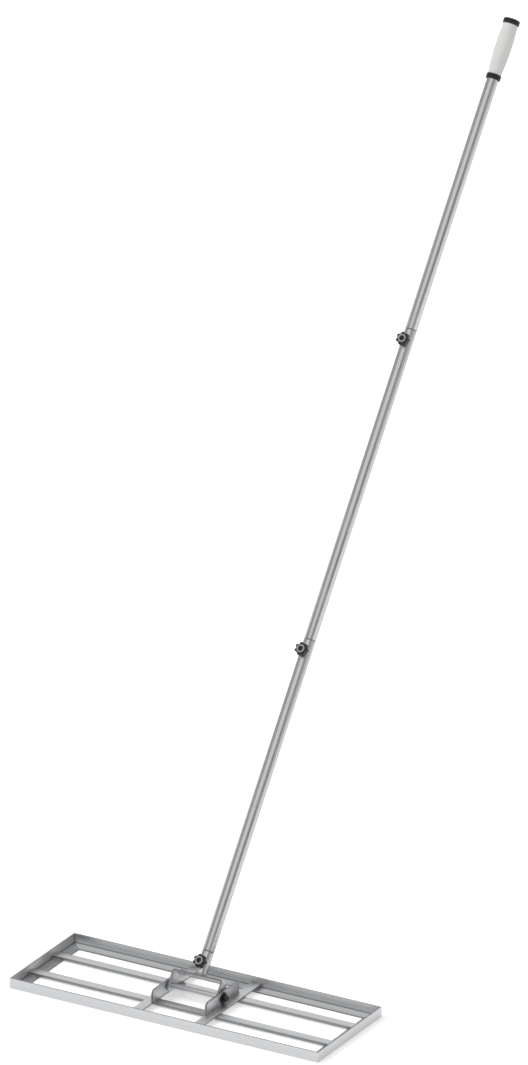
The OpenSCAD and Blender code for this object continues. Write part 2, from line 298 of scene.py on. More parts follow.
def weldHeat(finish, look):  # 1 at the head's welds, 0 away from them
    fromWallX, fromWallY = abs(finish.x) - innerX, abs(finish.y) - innerY
    fromBar = abs(abs(finish.y) - (barLow.y + barHigh.y) / 2) - (barHigh.y - barLow.y) / 2
    fromStrip = abs(abs(finish.x) - (stripLow.x + stripHigh.x) / 2) - (stripHigh.x - stripLow.x) / 2
    overBar = abs(finish.z - (barLow.z + barHigh.z) / 2) ** 2
    overStrip = abs(finish.z - (stripLow.z + stripHigh.z) / 2) ** 2
    corner = fromWallX ** 2 + fromWallY ** 2
    barEnd = fromWallX ** 2 + fromBar.most(0.0) ** 2 + overBar
    offStrip = (finish.z - stripHigh.z).most(stripLow.z - finish.z).most(0.0)
    crossing = fromStrip.most(0.0) ** 2 + fromBar.most(0.0) ** 2 + offStrip ** 2
    stripEnd = fromStrip.most(0.0) ** 2 + fromWallY ** 2 + overStrip
    nearest = corner.least(barEnd).least(crossing).least(stripEnd) ** 0.5
    ragged = nearest + finish.noise(finish.place, scale=look["ragScale"], detail=2) * look["heatRag"]
    usual = look["heatRag"] / 2
    return ragged.ease(look["heatNear"] + usual, look["heatFar"] + usual, 1.0, 0.0)


# a dull, dark steel for sawn and sheared faces; the dark colour is partly painted shade, and on the tubes' rims it
# stands in for the shade in the groove where two tubes meet
cut = {
    "light": (0.36, 0.365, 0.375),
    "dark": (0.24, 0.245, 0.255),
    "lines": 1900,  # saw lines per metre
    "lineLong": 160,
    "cloud": 70,
    "lineShare": 0.5,
    "cloudShare": 0.5,
    "roughness": 0.42,
    "spread": 0.18,
    "depth": 0.00005,
}


def sawnEdgeAndShade(name, look=cut):  # sheared and sawn edges are duller than the faces, and their darker colour is partly painted shade
    finish = Finish(name)
    lines = finish.noise(finish.stretched([look["lines"], look["lines"], look["lineLong"]]), detail=2)
    cloud = finish.noise(finish.place, scale=look["cloud"], detail=3)
    mottle = lines * look["lineShare"] + cloud * look["cloudShare"]
    finish.set(
        baseColor=finish.blend(mottle, look["dark"], look["light"]),
        metallic=1.0,
        roughness=look["roughness"] + lines * look["spread"],
    )
    finish.bump(lines, look["depth"])
    return finish.material


polish = {
    "light": (0.63, 0.637, 0.645),
    "dark": (0.50, 0.508, 0.518),
    "grazing": (0.60, 0.60, 0.60),  # steel reflects less than white at a low angle
    "roughness": 0.20,
    "spread": 0.15,
    "ringPitch": 1700,  # polishing lines per metre of tube
    "ringLong": 40,
    "broadPitch": 240,
    "broadLong": 12,
    "smudge": 8,
    "handledFrom": 0.48,
    "handledFull": 0.72,
    "handledDull": 0.10,
    "ringShare": 0.30,  # how much each pattern moves the colour from dark to light
    "broadShare": 0.35,
    "smudgeShare": 0.35,
    "depth": 0.000008,
    "seamHalf": 0.0007,
    "seamFade": 0.001,
    "seamDip": 0.00006,
    "seamDark": 0.3,
    "seamDull": 0.08,
}
handleTurn = Matrix((sideWay, -knobWay, handleWay)).to_4x4()


def polishedTube(name, look=polish):  # fine lines run round it, and a faint seam runs up its back
    finish = Finish(name)
    rings = finish.noise(
        finish.stretched((look["ringLong"], look["ringLong"], look["ringPitch"]), handleTurn), detail=3
    )
    bands = finish.noise(
        finish.stretched((look["broadLong"], look["broadLong"], look["broadPitch"]), handleTurn)
    )
    smudges = finish.noise(finish.place, scale=look["smudge"], detail=5, roughness=0.62)
    handled = smudges.ease(look["handledFrom"], look["handledFull"])
    behind = finish.along(knobWay, pivot).ease(-look["seamFade"], look["seamFade"], 1.0, 0.0)
    seam = abs(finish.x).ease(look["seamHalf"] / 2, look["seamHalf"], 1.0, 0.0) * behind
    mottle = bands * look["broadShare"] + rings * look["ringShare"] + smudges * look["smudgeShare"]
    tone = finish.blend(mottle, look["dark"], look["light"])
    dullness = look["roughness"] + rings * look["spread"] + handled * look["handledDull"]
    finish.set(
        baseColor=finish.blend(seam * look["seamDark"], tone, cut["light"]),
        metallic=1.0,
        roughness=dullness + seam * look["seamDull"],
        specularTint=look["grazing"],
    )
    finish.bump(rings - seam * (look["seamDip"] / look["depth"]), look["depth"])
    return finish.material


bracket = {
    "straw": (0.58, 0.47, 0.32),
    "blue": (0.36, 0.38, 0.47),
    "near": 0.003,
    "far": 0.012,
    "heat": 0.6,
    "blueHeat": 0.5,
    "rag": 0.004,
    "cloud": 45,
    "fine": (18, 2300, 2300),  # grain lines per metre along the strip, across it and through it
    "broad": (6, 500, 500),
    "fineShare": 0.3,
    "broadShare": 0.4,
    "cloudShare": 0.3,
    "roughness": 0.27,
    "spread": 0.17,
    "cloudDull": 0.08,
}


def bracketSteel(name, look=bracket):  # satin strip that the socket's weld has tinted
    finish = Finish(name)
    fine = finish.noise(finish.stretched(look["fine"], handleTurn), detail=3)
    broad = finish.noise(finish.stretched(look["broad"], handleTurn))
    cloud = finish.noise(finish.place, scale=look["cloud"], detail=4)
    up = finish.along(handleWay, pivot) - yokeTop
    fromAxis = (finish.x ** 2 + finish.along(knobWay, pivot) ** 2) ** 0.5
    out = (up ** 2 + (fromAxis - tubeRadius) ** 2) ** 0.5 + cloud * look["rag"]
    usual = look["rag"] / 2
    straw = out.ease(look["near"] + usual, look["far"] + usual, 1.0, 0.0)
    blue = straw * out.ease(look["near"], look["near"] * 2, 1.0, 0.0)
    mottle = broad * look["broadShare"] + fine * look["fineShare"] + cloud * look["cloudShare"]
    tone = finish.blend(mottle, satin["dark"], satin["light"])
    tone = finish.blend(straw * look["heat"], tone, look["straw"])
    finish.set(
        baseColor=finish.blend(blue * look["blueHeat"], tone, look["blue"]),
        metallic=1.0,
        roughness=look["roughness"] + fine * look["spread"] + cloud * look["cloudDull"],
    )
    finish.bump(fine * satin["fineRise"] + broad * satin["broadRise"], satin["depth"])
    return finish.material


weldLook = {
    "tones": [(0.30, (0.37, 0.345, 0.32)), (0.50, (0.46, 0.455, 0.45)), (0.70, (0.33, 0.34, 0.37))],
    "patches": 160,
    "patchDetail": 2,
    "grains": 900,
    "roughness": 0.34,
    "spread": 0.22,
    "depth": 0.00008,
}
zincLook = {
    "tones": [(0.30, (0.045, 0.046, 0.050)), (0.60, (0.075, 0.075, 0.080)), (0.80, (0.12, 0.12, 0.12))],
    "patches": 180,
    "patchDetail": 3,
    "grains": 1500,
    "roughness": 0.30,
    "spread": 0.20,
    "depth": 0.00003,
}


def grainyMetal(name, look):  # weld metal and black zinc: patches of tone under a fine grain
    finish = Finish(name)
    grains = finish.noise(finish.place, scale=look["grains"], detail=3)
    patches = finish.noise(finish.place, scale=look["patches"], detail=look["patchDetail"])
    tone = finish.add("ValToRGB", {"stops": look["tones"]}, {"Fac": patches})
    finish.set(baseColor=tone, metallic=1.0, roughness=look["roughness"] + grains * look["spread"])
    finish.bump(grains, look["depth"])
    return finish.material


moulding = {"cloud": 120, "spread": 0.16, "specular": 0.4, "pitDepth": 0.00006, "pitStrength": 0.6}
plastics = {  # colour, lighter colour, roughness, pits per metre
    "knob": ((0.010, 0.010, 0.011), (0.022, 0.022, 0.024), 0.42, 1100.0),
    "boss": ((0.28, 0.28, 0.285), (0.35, 0.35, 0.355), 0.40, 1100.0),
    "cap": ((0.005, 0.005, 0.006), (0.010, 0.010, 0.011), 0.30, 1100.0),
    "gripRing": ((0.009, 0.009, 0.009), (0.020, 0.020, 0.020), 0.50, 1600.0),
    "lockRing": ((0.10, 0.11, 0.13), (0.16, 0.17, 0.20), 0.42, 1100.0),
}


def mouldedPlastic(name, colour, light, roughness, pitSize, look=moulding):
    finish = Finish(name)
    pits = finish.add("TexVoronoi", {"feature": "SMOOTH_F1"}, {"Vector": finish.place, "Scale": pitSize})
    cloud = finish.noise(finish.place, scale=look["cloud"], detail=3)
    finish.set(
        baseColor=finish.blend(cloud, colour, light),
        roughness=roughness + cloud * look["spread"],
        specular=look["specular"],
    )
    finish.bump(pits, look["pitDepth"], look["pitStrength"])
    return finish.material


gripLook = {
    "colour": (0.70, 0.70, 0.685),
    "shade": (0.60, 0.60, 0.585),
    "roughness": 0.62,
    "spread": 0.18,
    "specular": 0.35,
    "cloud": 60,
    "cloudShade": 0.7,
    "stipple": 1500.0,
    "stippleShare": 0.6,
    "depth": 0.00012,
    "seamHalf": 0.00035,
    "seamHeight": 0.0002,
    "seamShade": 0.2,
}


def softSleeve(name, look=gripLook):  # stippled rubber with a parting line down each side
    finish = Finish(name)
    stipple = finish.add("TexVoronoi", inputs={"Vector": finish.place, "Scale": look["stipple"]})
    cloud = finish.noise(finish.place, scale=look["cloud"], detail=4)
    seam = abs(finish.along(knobWay, pivot)).ease(look["seamHalf"] / 2, look["seamHalf"], 1.0, 0.0)
    finish.set(
        baseColor=finish.blend(
            cloud * look["cloudShade"] + seam * look["seamShade"], look["colour"], look["shade"]
        ),
        roughness=look["roughness"] + cloud * look["spread"],
        specular=look["specular"],
    )
    rise = stipple * look["stippleShare"] + seam * (look["seamHeight"] / look["depth"])
    finish.bump(rise, look["depth"])
    return finish.material


steelX = satinSteel("satinSteelAlongX", "x")
steelY = satinSteel("satinSteelAlongY", "y")
sawnEdgeAndShadeSteel = sawnEdgeAndShade("sawnEdgeAndShade")
tubeSteel = polishedTube("polishedTube")
yokeSteel = bracketSteel("bracketSteel")
weldSteel = grainyMetal("weldMetal", weldLook)
zinc = grainyMetal("blackZinc", zincLook)
knobBlack = mouldedPlastic("knobPlastic", *plastics["knob"])
bossGrey = mouldedPlastic("knobBoss", *plastics["boss"])
capBlack = mouldedPlastic("capPlastic", *plastics["cap"])
ringBlack = mouldedPlastic("ringRubber", *plastics["gripRing"])
nylon = mouldedPlastic("nylonRing", *plastics["lockRing"])
sleeve = softSleeve("gripSleeve")
print("finishes are ready")


def placePiece(name, shape, body, finish, stands=(), keen=34):
    mesh = bpy.data.meshes.new(name)
    shape.to_mesh(mesh)
    shape.free()
    mesh.materials.append(finish)
    mesh.polygons.foreach_set("use_smooth", [True] * len(mesh.polygons))
    mesh.set_sharp_from_angle(angle=math.radians(keen))
    piece = bpy.data.objects.new(name, mesh)
    scene.collection.objects.link(piece)
    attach(piece, body)
    if stands:
        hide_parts(*stands)
    return piece


meshing = {
    "merge": 1e-6,  # corners this near are one
    "onAxis": 1e-7,
    "flat": 0.6,  # degrees under which two faces are one flat
    "sharp": 28,  # degrees over which an edge is turned off
    "segments": 3,
}


def lathe(shape, profile, frameOf, steps=96, closed=False):  # spins (radius, height) points round z
    line = [shape.verts.new((radius, 0, height)) for radius, height in profile]
    pairs = list(zip(line, line[1:] + (line[:1] if closed else [])))
    edges = [shape.edges.new(pair) for pair in pairs]
    bmesh.ops.spin(
        shape, geom=line + edges, cent=(0, 0, 0), axis=(0, 0, 1), angle=math.tau, steps=steps,
        use_merge=True,
    )
    onAxis = [v for v in gather(line) if v.co.xy.length < meshing["onAxis"]]
    bmesh.ops.remove_doubles(shape, verts=onAxis, dist=meshing["merge"])
    joined = gather([v for v in line if v.is_valid])
    bmesh.ops.recalc_face_normals(shape, faces=list({face for v in joined for face in v.link_faces}))
    bmesh.ops.transform(shape, matrix=frameOf, verts=list(joined))
    return list(joined)


def gather(seeds):  # every vertex joined to the seeds
    found, edge = set(seeds), list(seeds)
    while edge:
        for link in edge.pop().link_edges:
            for vert in link.verts:
                if vert not in found:
                    found.add(vert)
                    edge.append(vert)
    return found


def arc(centre, radius, start, end, steps=5):  # (radius, height) points round a centre, angles in degrees
    turns = [math.radians(start + (end - start) * i / steps) for i in range(steps + 1)]
    return [(centre[0] + radius * math.cos(t), centre[1] + radius * math.sin(t)) for t in turns]


def width(face):  # a long face's short side
    return face.calc_area() / max(edge.calc_length() for edge in face.edges)


def softened(node, body, finish, edge=0.0004, leave=None, cutWidth=0.0, cutWay=None, across=0.9):
    # a CAD node with its edges turned off; narrow faces, or those across cutWay, get the dull cut finish, whose
    # darker colour is partly painted shade
    shape = bmesh.new()
    shape.from_mesh(frame["nodes"][node].data)
    bmesh.ops.remove_doubles(shape, verts=shape.verts, dist=meshing["merge"])
    bmesh.ops.dissolve_limit(
        shape, angle_limit=math.radians(meshing["flat"]), verts=shape.verts, edges=shape.edges
    )
    for face in shape.faces:
        sawn = cutWay is not None and abs(face.normal.dot(cutWay)) > across
        # these faces get the darker cut finish, which is partly painted shade
        face.material_index = int(sawn or width(face) < cutWidth)
    sharp = math.radians(meshing["sharp"])
    keen = [
        e for e in shape.edges
        if len(e.link_faces) == 2 and e.calc_face_angle(0) > sharp and not (leave and leave(e))
    ]
    bmesh.ops.bevel(
        shape, geom=keen, offset=edge, offset_type="OFFSET", segments=meshing["segments"], profile=0.5,
        affect="EDGES", clamp_overlap=True, material=-1,
    )
    piece = placePiece(node + "_soft", shape, body, finish, [node])
    piece.data.materials.append(sawnEdgeAndShadeSteel)
    return piece


head = {
    "edge": 0.0005,
    "thinEdge": 0.0004,
    "sheet": 0.0035,  # faces narrower than this are the rails' cut edges
    "plate": 0.0045,  # and those of the strips and ears
    "mitreNear": 0.00001,
}


def onMitre(edge):  # the rails' mitred ends are welded and ground flush
    corners = [(headHigh.x - abs(v.co.x), headHigh.y - abs(v.co.y)) for v in edge.verts]
    return all(abs(fromEnd - fromSide) < head["mitreNear"] for fromEnd, fromSide in corners)


for node in ("front_rail", "rear_rail"):
    softened(node, "head", steelX, head["edge"], onMitre, head["sheet"])
for node in ("left_rail", "right_rail"):
    softened(node, "head", steelY, head["edge"], onMitre, head["sheet"])
for node in ("front_bar", "rear_bar"):
    softened(node, "head", steelX, head["edge"], cutWay=Vector((0, 1, 0)))
for node in ("left_cross_strip", "right_cross_strip", "left_ear", "right_ear"):
    softened(node, "head", steelY, head["thinEdge"], cutWidth=head["plate"])
print("head is softened")


weld = {
    "step": 0.0017,  # from one ripple to the next
    "ripple": 0.11,
    "sides": 10,
    "wander": 0.06,
    "endShare": 0.55,
    "corner": 0.0016,  # radii of the beads
    "bar": 0.0016,
    "strip": 0.0017,
    "ear": 0.0019,
    "socket": 0.0024,
    "barLong": 0.017,
    "cornerShort": 0.001,  # the corners' beads stop this far under the walls' tops
    "earRun": (0.020, 0.048),  # from and to, out of the head's middle
    "keen": 60,
    "seed": 7,
}
shake = random.Random(weld["seed"])


def bead(shape, start, end, size, across):  # a rippled run of weld between two points
    run = end - start
    rows = max(4, round(run.length / weld["step"] * 2))
    profile = [(0, 0)]
    for row in range(rows + 1):
        swell = 1 + weld["ripple"] * (-1) ** row + shake.uniform(-1, 1) * weld["wander"]
        taper = weld["endShare"] if row in (0, rows) else 1
        profile.append((size * swell * taper, run.length * row / rows))
    profile.append((0, run.length))
    x = run.normalized()
    y = across.normalized()
    lathe(shape, profile, axes(start, y, x.cross(y), x), steps=weld["sides"])


def weldPiece(name, runs, body):
    shape = bmesh.new()
    for start, end, size, across in runs:
        bead(shape, Vector(start), Vector(end), size, Vector(across))
    return placePiece(name, shape, body, weldSteel, keen=weld["keen"])


cornerRuns, barRuns, stripRuns, earRuns = [], [], [], []
for sx in (-1, 1):
    for sy in (-1, 1):
        wallX, wallY, earX = sx * innerX, sy * innerY, sx * earHigh.x
        foot, top = (wallX, wallY, flangeTop), (wallX, wallY, wallTop - weld["cornerShort"])
        cornerRuns.append((foot, top, weld["corner"], (1, 0, 0)))
        for edge in (barLow.y, barHigh.y):
            y = sy * edge
            inward = sx * (innerX - weld["barLong"])
            barRuns.append(((wallX, y, flangeTop), (inward, y, flangeTop), weld["bar"], (0, 1, 0)))
        for edge in (stripLow.x, stripHigh.x):
            x = sx * edge
            start, end = (x, sy * barLow.y, stripLow.z), (x, sy * barHigh.y, stripLow.z)
            stripRuns.append((start, end, weld["strip"], (1, 0, 0)))
        start, end = (sx * stripLow.x, wallY, stripHigh.z), (sx * stripHigh.x, wallY, stripHigh.z)
        stripRuns.append((start, end, weld["strip"], (0, 1, 0)))
        start, end = [(earX, sy * y, earLow.z) for y in weld["earRun"]]
        earRuns.append((start, end, weld["ear"], (1, 0, 0)))
weldPiece("corner_welds", cornerRuns, "head")
weldPiece("bar_welds", barRuns, "head")
weldPiece("strip_welds", stripRuns, "head")
weldPiece("ear_welds", earRuns, "head")


def socketWeld():  # a rippled ring round the foot of the socket
    shape = bmesh.new()
    size = weld["socket"]
    ring = arc((tubeRadius, yokeTop), size, 0, 330, 11)
    ripples = round(math.tau * tubeRadius / weld["step"])
    verts = lathe(shape, ring, Matrix(), 2 * ripples, closed=True)
    for vert in verts:
        turn = math.atan2(vert.co.y, vert.co.x)
        middle = Vector((math.cos(turn), math.sin(turn), 0)) * tubeRadius + Vector((0, 0, yokeTop))
        swell = 1 + weld["ripple"] * math.cos(turn * ripples)
        vert.co = middle + (vert.co - middle) * swell
    bmesh.ops.transform(shape, matrix=handleFrame, verts=verts)
    placePiece("socket_weld", shape, "handle", weldSteel, keen=weld["keen"])


socketWeld()
print("welds are laid")


handle = {
    "yokeEdge": 0.0005,
    "tubeEdge": 0.0003,
    "spacerEdge": 0.0002,
    "rims": 0.3,  # on the tubes, faces that lean this much along the handle get the cut finish, painted shade for the groove between two tubes
    "holeNear": 0.005,
}


def atScrewHole(edge):  # a screw hole's edge is left as it was drilled
    ends = [v.co for v in edge.verts]
    for join in joinNames:
        start = knobFrame(join).translation
        if all((end - start).cross(knobWay).length < handle["holeNear"] for end in ends):
            return True
    return False


softened("yoke_bracket", "handle", yokeSteel, handle["yokeEdge"], cutWay=knobWay)
softened(
    "handle_socket", "handle", tubeSteel, handle["tubeEdge"], atScrewHole, cutWay=handleWay
)
for join in joinNames:
    softened(
        join + "_tube", "handle", tubeSteel, handle["tubeEdge"], atScrewHole,
        cutWay=handleWay, across=handle["rims"],
    )
softened("pivot_spacer", "handle", steelX, handle["spacerEdge"])
print("handle is softened")


fastener = {
    "washerEdge": 0.0002,
    "edge": 0.0003,
    "sunk": 0.97,  # the thread's ridge starts inside the core, at this share of its radius
    "crestAt": 0.45,  # places along one pitch
    "footAt": 0.9,
    "threadSteps": 24,
    "studSteps": 40,
    "boltSteps": 48,
}


def threadRidge(shape, root, crest, pitch, low, high, frameOf):  # a helical ridge on a bare core
    turns = (high - low) / pitch - 1
    steps = fastener["threadSteps"]
    foot = root * fastener["sunk"]
    points = [(foot, 0), (crest, pitch * fastener["crestAt"]), (foot, pitch * fastener["footAt"])]
    line = [shape.verts.new((radius, 0, low + height)) for radius, height in points]
    first = shape.faces.new(line)
    bmesh.ops.spin(
        shape, geom=[first] + list(first.edges) + line, cent=(0, 0, 0), axis=(0, 0, 1),
        dvec=(0, 0, pitch / steps), angle=math.tau * turns, steps=round(turns * steps),
    )
    verts = list(gather(line))
    faces = {face for v in verts for face in v.link_faces}
    bmesh.ops.recalc_face_normals(shape, faces=list(faces))
    bmesh.ops.transform(shape, matrix=frameOf, verts=verts)


studThread = {"pitch": 0.001, "depth": 0.00058, "point": 0.0008}


def knobStud(join):
    place = knobFrame(join)
    start = place.translation
    low, high = span(join + "_knob_stud", knobWay, start)
    crest = span(join + "_knob_stud", sideWay, start)[1]
    root = crest - studThread["depth"]
    shape = bmesh.new()
    point = studThread["point"]
    core = [(0, low), (root - point, low), (root, low + point), (root, high), (0, high)]
    lathe(shape, core, place, fastener["studSteps"])
    threadRidge(shape, root, crest, studThread["pitch"], low + point, high, place)
    placePiece(join + "_screw", shape, join + "_knob", zinc, [join + "_knob_stud"])


boltThread = {"pitch": 0.00125, "depth": 0.0007, "long": 0.022, "chamfer": 0.0009}


def pivotBolt():  # the CAD bolt up to its thread, and a threaded end
    shape = bmesh.new()
    shape.from_mesh(frame["nodes"]["pivot_bolt"].data)
    bmesh.ops.remove_doubles(shape, verts=shape.verts, dist=meshing["merge"])
    end = span("pivot_bolt", sideWay, pivot)[1]
    crest = max((v.co - pivot).yz.length for v in shape.verts if v.co.x > end / 2)
    neck = end - boltThread["long"]
    cut = bmesh.ops.bisect_plane(
        shape, geom=shape.verts[:] + shape.edges[:] + shape.faces[:], plane_co=(neck, 0, 0),
        plane_no=(1, 0, 0), clear_outer=True,
    )
    bmesh.ops.holes_fill(shape, edges=[e for e in cut["geom_cut"] if isinstance(e, bmesh.types.BMEdge)])
    root = crest - boltThread["depth"]
    point = boltThread["chamfer"]
    core = [
        (0, neck), (crest, neck), (root, neck + point),
        (root, end - point), (root - point / 2, end), (0, end),
    ]
    lathe(shape, core, boltFrame, fastener["boltSteps"])
    threadRidge(shape, root, crest, boltThread["pitch"], neck, end - point, boltFrame)
    placePiece("pivot_bolt_threaded", shape, "head", zinc, ["pivot_bolt"])


for join in joinNames:
    knobStud(join)
    softened(join + "_knob_washer", join + "_washer", zinc, fastener["washerEdge"])
    nut = frame["nodes"][join + "_weld_nut"].data
    nut.materials.clear()
    nut.materials.append(zinc)
pivotBolt()
softened("pivot_lock_nut", "head", zinc, fastener["edge"])
softened("outer_washers", "head", zinc, fastener["edge"])
softened("thrust_washers", "head", steelY, fastener["washerEdge"])

insert = {"bore": 0.00412, "outer": 0.0050, "deep": 0.0012, "proud": 0.00015}


def lockRing():  # the nylon insert that shows in the nut's collar
    shape = bmesh.new()
    end = span("pivot_lock_nut", sideWay, pivot)[1]
    low, high = end - insert["deep"], end + insert["proud"]
    bore, outer = insert["bore"], insert["outer"]
    corners = [(bore, low), (outer, low), (outer, high), (bore, high)]
    lathe(shape, corners, boltFrame, fastener["boltSteps"], closed=True)
    placePiece("lock_ring", shape, "head", nylon)


lockRing()
print("fasteners are cut")


knob = {
    "lobes": 7,
    "pointsPerLobe": 16,
    "lobeShare": 0.24,  # lobe radius over the knob's radius
    "valleyShare": 0.22,
    "hubShare": 0.535,  # hub radius over the knob's radius
    "hubHeightShare": 1 / 6,  # hub height over the knob's height
    "bossShare": 0.68,  # radius of the raised round face over the knob's radius
    "bossRise": 0.0008,
    "ringShare": 0.61,  # radius of the light ring on the raised face over the knob's radius
    "topEdge": 0.0022,
    "topSegments": 6,
    "lowEdge": 0.0012,
    "lowSegments": 4,
    "fewSides": 8,  # the knob's flat ends have more sides than this, and all its other faces fewer
    "filletOut": 0.0009,  # where the raised face grows out of the top
    "filletRise": 0.0001,
    "faceEdge": 0.0004,
    "grooveHalf": 0.0003,
    "grooveDeep": 0.0002,
    "wellEdge": 0.00012,
    "capGap": 0.00003,
    "wellDeep": 0.003,
    "hubFillet": 0.0006,
    "hubEdge": 0.0004,
    "keen": 40,
    "capEdge": 0.0005,
    "dishShare": 0.82,  # the cap's shallow dish: where it starts and ends over the cap's radius
    "dishFloorShare": 0.76,
    "dishDeep": 0.0003,
    "capSteps": 56,
}


def starRadius(turn, outer):  # radius of the lobed outline at an angle
    lobeR, valleyR = knob["lobeShare"] * outer, knob["valleyShare"] * outer
    half = math.pi / knob["lobes"]
    lobeAt = outer - lobeR
    rise = math.sqrt((lobeR + valleyR) ** 2 - (lobeAt * math.sin(half)) ** 2)
    valleyAt = lobeAt * math.cos(half) + rise
    share = lobeR / (lobeR + valleyR)
    touch = Vector((lobeAt, 0)).lerp(Vector((valleyAt * math.cos(half), valleyAt * math.sin(half))), share)
    off = abs((turn + half) % (2 * half) - half)
    if off <= math.atan2(touch.y, touch.x):
        return lobeAt * math.cos(off) + math.sqrt(lobeR ** 2 - (lobeAt * math.sin(off)) ** 2)
    off = half - off
    return valleyAt * math.cos(off) - math.sqrt(valleyR ** 2 - (valleyAt * math.sin(off)) ** 2)


def drawOut(shape, face, height, radius=None, closed=False):  # extrudes a face, or draws it to a circle
    made = bmesh.ops.extrude_face_region(shape, geom=[face])["geom"]
    end = next(item for item in made if isinstance(item, bmesh.types.BMFace))
    if not closed:
        bmesh.ops.delete(shape, geom=[face], context="FACES_ONLY")
    for vert in end.verts:
        if radius:
            vert.co.xy = vert.co.xy.normalized() * radius
        vert.co.z = height
    return end


def flatEnds(shape):  # the knob's flat ends, from the lowest up
    ends = [face for face in shape.faces if len(face.verts) > knob["fewSides"]]
    return sorted(ends, key=lambda face: face.calc_center_median().z)


def starKnob(join):
    place = knobFrame(join)
    start = place.translation
    low, high = span(join + "_knob", knobWay, start)
    outer = span(join + "_knob", sideWay, start)[1]
    capOuter = span(join + "_knob_cap", sideWay, start)[1]
    hub = outer * knob["hubShare"]
    boss = outer * knob["bossShare"]
    ring = outer * knob["ringShare"]
    under = low + (high - low) * knob["hubHeightShare"]
    shoulder = high - knob["bossRise"]
    shape = bmesh.new()
    rim = bmesh.ops.create_circle(
        shape, cap_ends=True, radius=1, segments=knob["lobes"] * knob["pointsPerLobe"]
    )["verts"]
    for vert in rim:
        turn = math.atan2(vert.co.y, vert.co.x)
        vert.co = Vector((math.cos(turn), math.sin(turn), 0)) * starRadius(turn, outer)
        vert.co.z = under
    bottom = shape.faces[:][0]
    top = drawOut(shape, bottom, shoulder, closed=True)
    bmesh.ops.bevel(
        shape, geom=list(top.edges), offset=knob["topEdge"], offset_type="OFFSET",
        segments=knob["topSegments"], profile=0.5, affect="EDGES", clamp_overlap=True, material=-1,
    )
    bottom = flatEnds(shape)[0]
    bmesh.ops.bevel(
        shape, geom=list(bottom.edges), offset=knob["lowEdge"], offset_type="OFFSET",
        segments=knob["lowSegments"], profile=0.5, affect="EDGES", clamp_overlap=True, material=-1,
    )
    ends = flatEnds(shape)
    bottom, top = ends[0], ends[-1]
    edge, fillet, rise = knob["faceEdge"], knob["filletOut"], knob["filletRise"]
    groove, well, hubFillet = knob["grooveHalf"], capOuter + knob["capGap"], knob["hubFillet"]
    for radius, height in [
        (boss + fillet, shoulder + rise), (boss + fillet * 2 / 9, shoulder + rise * 3), (boss, high - edge),
        (boss - edge / 4, high - edge / 4), (boss - edge, high),
        (ring + groove, high), (ring, high - knob["grooveDeep"]), (ring - groove, high),
        (capOuter + edge, high), (capOuter + knob["wellEdge"], high - edge / 4),
        (well, high - edge), (well, high - knob["wellDeep"]),
    ]:
        top = drawOut(shape, top, height, radius)
    for radius, height in [
        (hub + hubFillet, under), (hub + hubFillet / 6, under - hubFillet / 3), (hub, under - hubFillet),
        (hub, low + knob["hubEdge"]), (hub - knob["hubEdge"], low),
    ]:
        bottom = drawOut(shape, bottom, height, radius)
    bmesh.ops.recalc_face_normals(shape, faces=shape.faces)
    bmesh.ops.transform(shape, matrix=place, verts=shape.verts)
    for face in shape.faces:
        corners = [vert.co - start for vert in face.verts]
        rises = [corner.dot(knobWay) for corner in corners]
        reach = max((corner - knobWay * rise).length for corner, rise in zip(corners, rises))
        face.material_index = int(min(rises) > high - 1.5 * edge and reach < ring + groove / 3)
    piece = placePiece(
        join + "_star_knob", shape, join + "_knob", knobBlack, [join + "_knob"],
        keen=knob["keen"],
    )
    piece.data.materials.append(bossGrey)

    capLow, capHigh = span(join + "_knob_cap", knobWay, start)
    shape = bmesh.new()
    edge = knob["capEdge"]
    lip = arc((capOuter - edge, capHigh - edge), edge, 0, 90, 4)
    floor = capHigh - knob["dishDeep"]
    dish = [(capOuter * knob["dishShare"], capHigh), (capOuter * knob["dishFloorShare"], floor), (0, floor)]
    lathe(shape, [(0, capLow), (capOuter, capLow)] + lip + dish, place, knob["capSteps"])
    placePiece(join + "_pressed_cap", shape, join + "_knob", capBlack, [join + "_knob_cap"])


for join in joinNames:
    starKnob(join)
print("knobs are moulded")


grip = {
    "steps": 36,  # along the barrel
    "around": 112,
    "endEdge": 0.0010,
    "fit": 0.00002,  # between the tube and what is pushed on it
    "groove": 0.0008,
    "grooveHalf": 0.0009,
    "grooveRound": 0.0001,
    "lipShare": 0.3,  # radius of the groove's lips over its half width
    "lowerCorner": 0.0014,
    "upperCorner": 0.0019,
    "plugIn": 0.0016,  # the plug is this much smaller in radius than the tube
    "plugEdge": 0.0006,
    "capEdge": 0.0008,
    "capDrop": 0.0014,  # the cap's edge turns this far under its crown
    "crown": [(0.7, 0.0004), (0.35, 0.00008)],  # share of the radius, drop from the crown's middle
    "capAround": 96,
}


def gripBarrel():
    low, high = span("grip_barrel", handleWay, pivot)
    swell = span("grip_barrel", sideWay, pivot)[1]
    bore = span("upper_tube", sideWay, pivot)[1] + grip["fit"]
    rings = {}
    for corner in frame["nodes"]["grip_barrel"].data.vertices:  # the sleeve's own outline
        place = corner.co - pivot
        height = place.dot(handleWay)
        radius = (place - handleWay * height).length
        rings[round(height, 4)] = max(rings.get(round(height, 4), 0), radius)
    lowRadius, highRadius = rings[min(rings)], rings[max(rings)]
    edge = grip["endEdge"]
    profile = [(bore, low)] + arc((lowRadius - edge, low + edge), edge, -90, -10, 4)
    for i in range(1, grip["steps"]):
        u = i / grip["steps"]
        plain = lowRadius + (highRadius - lowRadius) * u
        bulge = (swell - (lowRadius + highRadius) / 2) * math.sin(math.pi * u)
        profile.append((plain + bulge, low + (high - low) * u))
    profile += arc((highRadius - edge, high - edge), edge, 10, 90, 4) + [(bore, high)]
    shape = bmesh.new()
    lathe(shape, profile, handleFrame, grip["around"], closed=True)
    placePiece("grip_sleeve", shape, "handle", sleeve, ["grip_barrel"])


